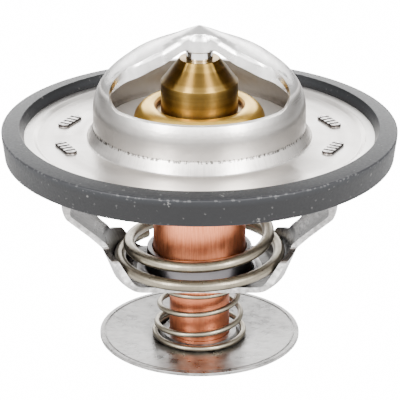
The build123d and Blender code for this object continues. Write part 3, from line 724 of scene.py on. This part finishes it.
# ---------------------------------------------------------------------------
# Wax, diaphragm, plug and washer.
# The filling of the element, never seen once it is crimped: wax loaded with
# copper powder, a black rubber diaphragm and plug, and a white washer.
# ---------------------------------------------------------------------------
for node, colour, rough in (
    ("wax_charge", (0.42, 0.22, 0.12), 0.55),
    ("diaphragm", (0.03, 0.03, 0.032), 0.6),
    ("rubber_plug", (0.03, 0.03, 0.032), 0.6),
    ("anti_extrusion_washer", (0.80, 0.79, 0.75), 0.45),
):
    inner, tree, surface = new_finish(node.replace("_", " "))
    stains = place_group(tree, patches, Per_metre=300.0, Contrast=1.6)
    darker = tuple(0.8 * part for part in colour)
    paint(tree, surface, between(tree, stains.outputs["Grains"], darker, colour))
    surface.inputs["Roughness"].default_value = rough
    relief(tree, surface, stains.outputs["Grains"], depth=1e-5)
    dress(node, inner)

# ---------------------------------------------------------------------------
# Guide.
# Turned brass with a long cone; the tool's feed lines run round it and it is
# left bright.
# ---------------------------------------------------------------------------
guide_bore = 2.29
guide_bottom = 34.0
guide_plug_radius = 7.1
guide_flange_top = 42.38
guide_radius = 6.55
guide_shoulder = 47.6
guide_top = 51.7
guide_top_radius = 3.4

brass_brown = (0.19, 0.115, 0.028)
brass_gold = (0.36, 0.23, 0.06)
brass_stain = (0.14, 0.08, 0.02)
feed_line_brown = (0.10, 0.055, 0.012)

turned_brass, tree, surface = new_metal("turned brass")
surface.inputs["Anisotropic"].default_value = 0.7
surface.inputs["Anisotropic Rotation"].default_value = 0.25
round_it = put(tree, "ShaderNodeTangent", direction_type="RADIAL", axis="Z")
tree.links.new(round_it.outputs[0], surface.inputs["Tangent"])
marks = place_group(tree, ring_lines, Per_metre=6000.0, Along_ring=0.6, Coarse_share=0.5)
feed = place_group(tree, ring_lines, Per_metre=1900.0, Along_ring=0.5, Coarse_share=0.5)
stains = place_group(tree, patches, Per_metre=260.0, Contrast=1.8)
feed_lines = spread(tree, feed.outputs["Bands"], 1.0, 0.0, start=0.42, end=0.58)
paint(tree, surface, between(tree, marks.outputs["Bands"], brass_brown, brass_gold))
lay_over(tree, surface, stains.outputs["Patches"], brass_stain, most=0.25)
lay_over(tree, surface, feed_lines, feed_line_brown, most=0.75)
roughen(tree, surface, marks.outputs["Bands"], smooth=0.26, rough=0.38, start=0.3, end=0.7)
relief(tree, surface, marks.outputs["Lines"], depth=1.0e-5)

guide = turned(
    "guide_body",
    [
        (guide_bore, guide_bottom, 0.0),
        (guide_plug_radius, guide_bottom, 0.1),
        (guide_plug_radius, cup_flange_top + part_gap, 0.0),
        (cup_flange_radius, cup_flange_top + part_gap, 0.1),
        (cup_flange_radius, guide_flange_top, 0.1),
        (guide_radius, guide_flange_top, 0.0),
        (guide_radius, guide_shoulder, 0.12),
        (guide_top_radius, guide_top, 0.15),
        (guide_bore, guide_top, 0.1),
    ],
)
stand_in(guide, "guide", "element", turned_brass)

# ---------------------------------------------------------------------------
# Crimp ring.
# Brass ring rolled over the flanges of the cup and the guide: a softer, paler
# face than the turned guide, with brown painted shade inside its upper lip.
# ---------------------------------------------------------------------------
crimp_radius = 11.2
crimp_bottom = 40.0
crimp_foot_top = 40.6
crimp_hole = 8.1
crimp_floor = cup_flange_bottom - part_gap
crimp_bore = 9.64
crimp_ceiling = guide_flange_top + part_gap
crimp_mouth = 7.4
crimp_mouth_top = 43.0
lip_shade_radii = (7.4, 8.0)
rolled_shoulder = [
    (11.14, 41.3),
    (10.95, 41.9),
    (10.62, 42.42),
    (10.18, 42.93),
    (9.60, 43.34),
    (8.95, 43.56),
    (8.35, 43.58),
    (7.75, 43.4),
]

rolled_gold = (0.70, 0.44, 0.085)
rolled_bright = (0.86, 0.58, 0.13)
lip_painted_shade = (0.42, 0.20, 0.08)

rolled_brass, tree, surface = new_metal("rolled brass")
stains = place_group(tree, patches, Per_metre=300.0, Contrast=1.6)
radius, height, turn = round_axis(tree)
paint(tree, surface, between(tree, stains.outputs["Patches"], rolled_gold, rolled_bright))
# The inside of the upper lip is painted brown: painted shade.
lay_over(tree, surface, falling(tree, radius, *lip_shade_radii), lip_painted_shade, most=0.8)
roughen(tree, surface, stains.outputs["Grains"], smooth=0.30, rough=0.42)
relief(tree, surface, stains.outputs["Grains"], depth=8e-6)

crimp = turned(
    "crimp_ring",
    [
        (crimp_mouth, crimp_mouth_top, 0.12),
        (crimp_mouth, crimp_ceiling, 0.1),
        (crimp_bore, crimp_ceiling, 0.0),
        (crimp_bore, crimp_floor, 0.0),
        (crimp_hole, crimp_floor, 0.0),
        (crimp_hole, crimp_bottom, 0.0),
        (crimp_radius, crimp_bottom, 0.1),
        (crimp_radius, crimp_foot_top, 0.0),
        *((across, up, 0.0) for across, up in rolled_shoulder),
    ],
)
stand_in(crimp, "crimp_collar", "element", rolled_brass)

# ---------------------------------------------------------------------------
# Piston.
# Ground and polished steel pin; its upper end is held in the socket of the
# bridge.
# ---------------------------------------------------------------------------
piston_radius = 2.25
piston_bottom = 38.5
piston_top = 55.38
piston_end_round = 0.4

ground_grey = (0.62, 0.61, 0.60)
ground_bright = (0.80, 0.79, 0.78)

ground_steel, tree, surface = new_metal("ground steel")
marks = place_group(tree, ring_lines, Per_metre=7000.0, Along_ring=0.3, Coarse_share=0.3)
paint(tree, surface, between(tree, marks.outputs["Bands"], ground_grey, ground_bright))
roughen(tree, surface, marks.outputs["Bands"], smooth=0.10, rough=0.2, start=0.3, end=0.7)
relief(tree, surface, marks.outputs["Lines"], depth=3e-6)

pin = turned(
    "piston_pin",
    [
        (0.0, piston_bottom, 0.0),
        (piston_radius, piston_bottom, piston_end_round),
        (piston_radius, piston_top, piston_end_round),
        (0.0, piston_top, 0.0),
    ],
)
stand_in(pin, "piston", "frame", ground_steel)

# ---------------------------------------------------------------------------
# Main valve disc.
# Pressed stainless disc with a turned-down rim, held under the crimp ring.
# ---------------------------------------------------------------------------
valve_hole = 8.1
valve_top = crimp_bottom
valve_bottom = 39.0
valve_flat_radius = 16.2
valve_under_radius = 15.83
valve_rim_radius = 17.5055
valve_rim_top = 38.9
valve_rim_inner = (16.93, 38.12)

valve = turned(
    "valve_plate",
    [
        (valve_hole, valve_bottom, 0.0),
        (valve_under_radius, valve_bottom, 0.3),
        (*valve_rim_inner, 0.0),
        (valve_rim_radius, valve_rim_top, 0.1),
        (valve_flat_radius, valve_top, 0.4),
        (valve_hole, valve_top, 0.0),
    ],
)
stand_in(valve, "main_valve_disc", "element", pressed_steel)

# ---------------------------------------------------------------------------
# Springs.
# Drawn wire, faintly yellow grey, slightly grainy, with cut ends.  The main
# spring is wedged in the bowl; the bypass spring tapers up to the cup.
# ---------------------------------------------------------------------------
wire_dark = (0.14, 0.12, 0.088)
wire_pale = (0.30, 0.265, 0.20)
wire_grain = (0.11, 0.10, 0.08)

spring_wire, tree, surface = new_metal("spring wire")
stains = place_group(tree, patches, Per_metre=200.0, Contrast=2.0)
paint(tree, surface, between(tree, stains.outputs["Patches"], wire_dark, wire_pale))
lay_over(tree, surface, stains.outputs["Grains"], wire_grain, most=0.3)
roughen(tree, surface, stains.outputs["Grains"], smooth=0.26, rough=0.40)
relief(tree, surface, stains.outputs["Grains"], depth=6e-6)


def eased(turns):
    """Turns past a change of pitch, with the change itself eased in."""
    ease = 0.2
    if turns <= -ease:
        return 0.0
    if turns >= ease:
        return turns
    return (turns + ease) ** 2 / (4 * ease)


def soft_share(turn, start, end):
    """How far a turn lies between two others, from 0 to 1, with soft ends."""
    part_way = min(max((turn - start) / (end - start), 0.0), 1.0)
    return part_way * part_way * (3 - 2 * part_way)


def coil(name, wire, start, end, first_angle, radius_at, height_at):
    """A spring: round wire carried along its coil, with flat cut ends."""
    steps_per_turn = 72
    sides = 20
    steps = round((end - start) * steps_per_turn)
    centres = []
    for step in range(steps + 1):
        turn = start + (end - start) * step / steps
        angle = radians(first_angle + 360 * turn)
        across = radius_at(turn)
        centres.append(Vector((across * cos(angle), across * sin(angle), height_at(turn))) * mm)
    body = bmesh.new()
    rings = []
    for index, centre in enumerate(centres):
        ahead = centres[min(index + 1, steps)] - centres[max(index - 1, 0)]
        outward = Vector((centre.x, centre.y, 0)).normalized()
        up = ahead.normalized().cross(outward).normalized()
        out = up.cross(ahead.normalized()).normalized()
        ring = []
        for side in range(sides):
            angle = 2 * pi * side / sides
            ring.append(body.verts.new(centre + (out * cos(angle) + up * sin(angle)) * wire / 2 * mm))
        rings.append(ring)
    for first, second in zip(rings, rings[1:]):
        for side in range(sides):
            after = (side + 1) % sides
            body.faces.new((first[side], first[after], second[after], second[side]))
    body.faces.new(rings[0])
    body.faces.new(rings[-1])
    return shaded_piece(name, body, angle=50)


# The bottom coil of the main spring touches the sloping wall of the bowl all round.
frame_sheet = 1.0
base_bottom = 12.3
bowl_corner_at = 14.75
bowl_angle = 68.2
main_wire = 2.0
main_bottom_z = 15.5
main_start_turn = 0.12
main_wedge_turn = 0.42
main_wedge_pitch = 2.75
main_climb_turn = 1.66
main_pitch = 10.4
main_closed_turns = 0.8
main_neck_turn = 0.78
main_necked_turn = 1.35
main_neck_radius = 12.1
main_top_radius = 10.65
main_top_z = 37.98
main_first_angle = 90

bowl_reach = (main_bottom_z - base_bottom) / tan(radians(bowl_angle))
wall_and_wire = (frame_sheet + part_gap + main_wire / 2) / sin(radians(bowl_angle))
main_bottom_radius = bowl_corner_at + bowl_reach - wall_and_wire
main_climb = main_pitch - main_wedge_pitch
main_rise = main_top_z - main_bottom_z
main_flat_turn = (main_rise + main_wedge_pitch * main_wedge_turn + main_climb * main_climb_turn) / main_pitch


def main_radius(turn):
    necked = (main_neck_radius - main_bottom_radius) * soft_share(turn, main_neck_turn, main_necked_turn)
    taper = (main_top_radius - main_neck_radius) * soft_share(turn, main_necked_turn, main_flat_turn)
    return main_bottom_radius + necked + taper


def main_height(turn):
    wedge = main_wedge_pitch * eased(turn - main_wedge_turn)
    climb = main_climb * eased(turn - main_climb_turn)
    return main_bottom_z + wedge + climb - main_pitch * eased(turn - main_flat_turn)


main_end_turn = main_flat_turn + main_closed_turns
main_coil = coil(
    "main_coil", main_wire, main_start_turn, main_end_turn, main_first_angle, main_radius, main_height
)
stand_in(main_coil, "main_spring", "frame", spring_wire)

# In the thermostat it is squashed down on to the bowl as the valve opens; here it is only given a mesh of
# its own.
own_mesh(main_coil)

bypass_wire = 1.0
bypass_bottom_z = 1.12
bypass_top_z = 10.45
bypass_start_turn = -0.38
bypass_lift_turn = 0.29
bypass_pitch = 3.55
bypass_closed_turns = 0.7
bypass_bottom_radius = 7.85
bypass_taper = 0.5
bypass_top_radius = 6.42
bypass_first_angle = -90

bypass_rise = bypass_top_z - bypass_bottom_z
bypass_flat_turn = bypass_lift_turn + bypass_rise / bypass_pitch


def bypass_radius(turn):
    return max(bypass_bottom_radius - bypass_taper * max(turn, 0), bypass_top_radius)


def bypass_height(turn):
    rise = eased(turn - bypass_lift_turn) - eased(turn - bypass_flat_turn)
    return bypass_bottom_z + bypass_pitch * rise


bypass_end_turn = bypass_flat_turn + bypass_closed_turns
bypass_coil = coil(
    "bypass_coil",
    bypass_wire,
    bypass_start_turn,
    bypass_end_turn,
    bypass_first_angle,
    bypass_radius,
    bypass_height,
)
stand_in(bypass_coil, "bypass_spring", "element", spring_wire)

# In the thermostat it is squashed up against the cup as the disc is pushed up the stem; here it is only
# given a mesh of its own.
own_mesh(bypass_coil)

# ---------------------------------------------------------------------------
# Bypass disc.
# Plated steel stamping, dished, mottled matte grey on its face, with a raised
# centre and a coined line where the dish meets the rim.
# ---------------------------------------------------------------------------
disc_radius = 17.5
disc_sheet = 0.6
disc_rise = 0.6
disc_hole = 5.35
boss_radius = 6.1
boss_foot_radius = 6.9
boss_wall = 0.3
boss_bottom = 0.65
boss_top = boss_bottom + disc_sheet
seat_radius = 9.0
dish_radius = 16.6
coined_half_width = 0.15
coined_bottom = 1.08
coined_inner_top = 1.17
coined_reach = 0.35
spring_shadow_radius = 7.7
spring_shadow_reach = 2.4

plated_dark = (0.12, 0.117, 0.113)
plated_pale = (0.34, 0.33, 0.32)
broad_pale = (0.40, 0.39, 0.38)
pit_dark = (0.10, 0.095, 0.09)
coined_groove_shade = (0.08, 0.075, 0.07)
spring_painted_shadow = (0.06, 0.056, 0.052)

disc_steel, tree, surface = new_metal("plated disc")
stains = place_group(tree, patches, Per_metre=420.0, Contrast=3.4)
broad = place_group(tree, patches, Per_metre=90.0, Contrast=2.4)
pits = place_group(tree, specks, Per_metre=620.0, Share=0.10, Size=0.24)
radius, height, turn = round_axis(tree)
paint(tree, surface, between(tree, stains.outputs["Patches"], plated_dark, plated_pale))
lay_over(tree, surface, broad.outputs["Patches"], broad_pale, most=0.35)
lay_over(tree, surface, pits.outputs["Specks"], pit_dark, most=0.6)
# The coined groove is painted dark: painted shade.
lay_over(tree, surface, near(tree, radius, dish_radius, coined_reach), coined_groove_shade, most=0.55)
# A soft dark ring is painted round the foot of the bypass spring: a painted shadow.
lay_over(tree, surface, near(tree, radius, spring_shadow_radius, spring_shadow_reach), spring_painted_shadow, most=0.75)
roughen(tree, surface, stains.outputs["Patches"], smooth=0.24, rough=0.42)
relief(tree, surface, stains.outputs["Patches"], depth=2.5e-5)

disc = turned(
    "disc_plate",
    [
        (disc_hole, boss_bottom, 0.05),
        (boss_radius, boss_bottom, 0.15),
        (boss_foot_radius, 0.0, 0.15),
        (seat_radius, 0.0, 0.4),
        (dish_radius, disc_rise, 0.3),
        (disc_radius, disc_rise, 0.1),
        (disc_radius, disc_rise + disc_sheet, 0.1),
        (dish_radius + coined_half_width, disc_rise + disc_sheet, 0.05),
        (dish_radius, coined_bottom, 0.05),
        (dish_radius - coined_half_width, coined_inner_top, 0.05),
        (seat_radius, disc_sheet, 0.4),
        (boss_foot_radius + boss_wall, disc_sheet, 0.15),
        (boss_radius + boss_wall, boss_top, 0.15),
        (disc_hole, boss_top, 0.05),
    ],
)
stand_in(disc, "bypass_disc", "bypass", disc_steel)

# ---------------------------------------------------------------------------
# Retaining clip.
# Open ring of spring steel in the groove of the stem, under the disc.
# ---------------------------------------------------------------------------
dress("retaining_clip", spring_wire)

# ---------------------------------------------------------------------------
# Table, light and camera.
# A white light tent with two upright lamp boxes at the front left and right, and a
# pale table set low enough that the valve can open above it.  Places here are in metres.
# ---------------------------------------------------------------------------
table_height = -9.0 * mm
table_reach = 6.0
table_mesh = bpy.data.meshes.new("table")
table_mesh.from_pydata(
    [
        (-table_reach, -table_reach, table_height),
        (table_reach, -table_reach, table_height),
        (table_reach, table_reach, table_height),
        (-table_reach, table_reach, table_height),
    ],
    [],
    [(0, 1, 2, 3)],
)
table = bpy.data.objects.new("table", table_mesh)
bpy.context.scene.collection.objects.link(table)

# The table is painted paler round the thermostat and glows there, both fading towards its edges and its
# back: a painted pool of light.
lit_grey = (0.5, 0.5, 0.5)
edge_grey = (0.05, 0.05, 0.05)
lit_table, tree, surface = new_finish("lit table")
surface.inputs["Roughness"].default_value = 0.8
surface.inputs["Emission Color"].default_value = (1, 1, 1, 1)
place = put(tree, "ShaderNodeTexCoord")
outward = put(tree, "ShaderNodeVectorMath", operation="LENGTH")
tree.links.new(place.outputs["Object"], outward.inputs[0])
to_edge = spread(tree, outward.outputs["Value"], 0.0, 1.0, start=0.16, end=0.42)
paint(tree, surface, between(tree, to_edge, lit_grey, edge_grey))
front_to_back = put(tree, "ShaderNodeSeparateXYZ")
tree.links.new(place.outputs["Object"], front_to_back.inputs[0])
at_front = spread(tree, front_to_back.outputs["Y"], 1.0, 0.28, start=-0.06, end=0.05)
glow = times(tree, spread(tree, to_edge, 1.7, 0.1), at_front)
tree.links.new(glow, surface.inputs["Emission Strength"])
seen_white = put(tree, "ShaderNodeEmission", inputs={"Color": (1, 1, 1, 1), "Strength": 16.0})
path = put(tree, "ShaderNodeLightPath")
either = put(tree, "ShaderNodeMixShader")
tree.links.new(path.outputs["Is Camera Ray"], either.inputs[0])
tree.links.new(surface.outputs[0], either.inputs[1])
tree.links.new(seen_white.outputs[0], either.inputs[2])
tree.links.new(either.outputs[0], tree.nodes["Material Output"].inputs["Surface"])
table_mesh.materials.append(lit_table)


def around(angle, height, distance):
    """A place at an angle from the front, to the right, and a height, both in degrees."""
    flat = distance * cos(radians(height))
    return (flat * sin(radians(angle)), -flat * cos(radians(angle)), distance * sin(radians(height)))


def soft_lamp(name, place, power):
    """A large upright lamp box that shines at the thermostat."""
    middle = Vector((0, 0, 0.03))
    lamp_data = bpy.data.lights.new(name, "AREA")
    lamp_data.shape = "RECTANGLE"
    lamp_data.size = 0.14
    lamp_data.size_y = 0.50
    lamp_data.energy = power
    lamp = bpy.data.objects.new(name, lamp_data)
    lamp.location = place
    lamp.rotation_euler = (middle - Vector(place)).to_track_quat("-Z", "Y").to_euler()
    bpy.context.scene.collection.objects.link(lamp)


lamp_angle = 40
lamp_height = 33
lamp_distance = 0.55
soft_lamp("lamp front left", around(-lamp_angle, lamp_height, lamp_distance), 5.2)
soft_lamp("lamp front right", around(lamp_angle, lamp_height, lamp_distance), 4.8)


def levels(tree, value, stops):
    """A grey that follows value through (place, grey) stops, from 0 to 1."""
    ramp = put(tree, "ShaderNodeValToRGB")
    marks = ramp.color_ramp.elements
    marks[0].position = stops[0][0]
    marks[-1].position = stops[-1][0]
    for place, grey in stops[1:-1]:
        marks.new(place)
    for mark, (place, grey) in zip(marks, stops):
        mark.color = (grey, grey, grey, 1)
    tree.links.new(value, ramp.inputs[0])
    return ramp.outputs[0]


def away_from_front(tree, direction):
    """Angle of a direction from the front, -Y, as a share of half a turn, and its height."""
    split = put(tree, "ShaderNodeSeparateXYZ")
    tree.links.new(direction, split.inputs[0])
    to_side = put(tree, "ShaderNodeMath", operation="ABSOLUTE")
    tree.links.new(split.outputs["X"], to_side.inputs[0])
    turn = put(tree, "ShaderNodeMath", operation="ARCTAN2")
    tree.links.new(to_side.outputs[0], turn.inputs[0])
    tree.links.new(times(tree, split.outputs["Y"], -1.0), turn.inputs[1])
    return times(tree, turn.outputs[0], 1 / pi), split.outputs["Z"]


# Greys of the tent by height, behind the thermostat and before it, and by angle from the front.
backdrop_greys = [
    (0.0, 0.1), (0.08, 0.15), (0.15, 0.9), (0.26, 1.0), (0.38, 0.55), (0.5, 0.25), (0.7, 0.2), (1.0, 0.2)
]
room_greys = [(0.0, 0.2), (0.1, 0.4), (0.3, 0.9), (0.45, 0.7), (0.6, 0.3), (0.8, 0.22), (1.0, 0.2)]
wall_greys = [(0.0, 0.8), (0.3, 0.9), (0.5, 0.2), (0.79, 0.08), (0.88, 1.0), (1.0, 1.0)]
roof_grey = (0.7, 0.7, 0.7)

tent = bpy.data.worlds.new("light tent")
bpy.context.scene.world = tent
tent.use_nodes = True
sky = tent.node_tree
direction = put(sky, "ShaderNodeTexCoord")
turn, height = away_from_front(sky, direction.outputs["Generated"])
backdrop = levels(sky, height, backdrop_greys)
room = levels(sky, height, room_greys)
walls = levels(sky, turn, wall_greys)
behind = spread(sky, turn, 0.0, 1.0, start=0.45, end=0.8)
open_above = between(sky, spread(sky, height, 0.0, 1.0, start=0.5, end=0.7), walls, roof_grey)
shaded = put(sky, "ShaderNodeMix", data_type="RGBA", blend_type="MULTIPLY")
shaded.inputs["Factor"].default_value = 1.0
sky.links.new(between(sky, behind, room, backdrop), shaded.inputs[colour_a])
sky.links.new(open_above, shaded.inputs[colour_b])
background = sky.nodes["Background"]
background.inputs["Strength"].default_value = 10.0
sky.links.new(shaded.outputs[colour_result], background.inputs["Color"])

tilt = radians(22.39)
reach = 0.40495
aim = Vector((0.00009, 0.0, 0.02578))
view = bpy.data.cameras.new("view")
view.sensor_width = 36.0
view.lens = 211.5
view.clip_start = 0.01
camera = bpy.data.objects.new("view", view)
camera.location = aim + Vector((0, -cos(tilt) * reach, sin(tilt) * reach))
camera.rotation_euler = (pi / 2 - tilt, 0, 0)
bpy.context.scene.collection.objects.link(camera)
bpy.context.scene.camera = camera
